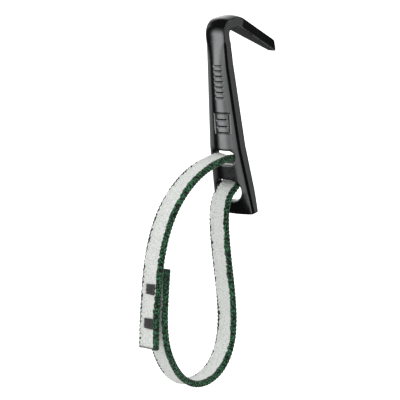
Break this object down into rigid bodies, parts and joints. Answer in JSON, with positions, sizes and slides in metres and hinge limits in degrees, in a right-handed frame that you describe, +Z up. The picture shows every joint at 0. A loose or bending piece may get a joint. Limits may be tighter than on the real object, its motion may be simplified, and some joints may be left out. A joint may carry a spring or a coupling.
{
  "type": "climbing hook with sling",
  "caption": "Steel climbing hook bent over into a tapered beak, with a widening hollow-backed shaft and a sewn tape loop threaded through eyes above its foot.",
  "frame": {"origin": "middle of the small flat under the beak's tip, which stands on the rock edge", "axes": "+Z up along the shaft, +X across the hook, +Y towards the rock, so the sling hangs on the -Y side"},
  "size_m": [0.0194, 0.0994, 0.1451],
  "materials": {
    "black_steel": "semi-gloss black oxide over forged steel, with slight wear along the edges",
    "webbing": "woven off-white tape with thick dark green selvedges",
    "stitching": "dark grey bar-tack thread"
  },
  "bodies": {
    "hook": {"hook_body": "black_steel"},
    "sling": {"webbing_loop": "webbing", "bar_tack_upper": "stitching", "bar_tack_lower": "stitching"}
  },
  "joints": [
    {"name": "sling_swing", "type": "hinge", "parent": "hook", "child": "sling", "pos_m": [0, -0.037, -0.0414], "axis": [-1, 0, 0], "range_deg": [-10, 55], "deforming": ["webbing_loop"]}
  ]
}
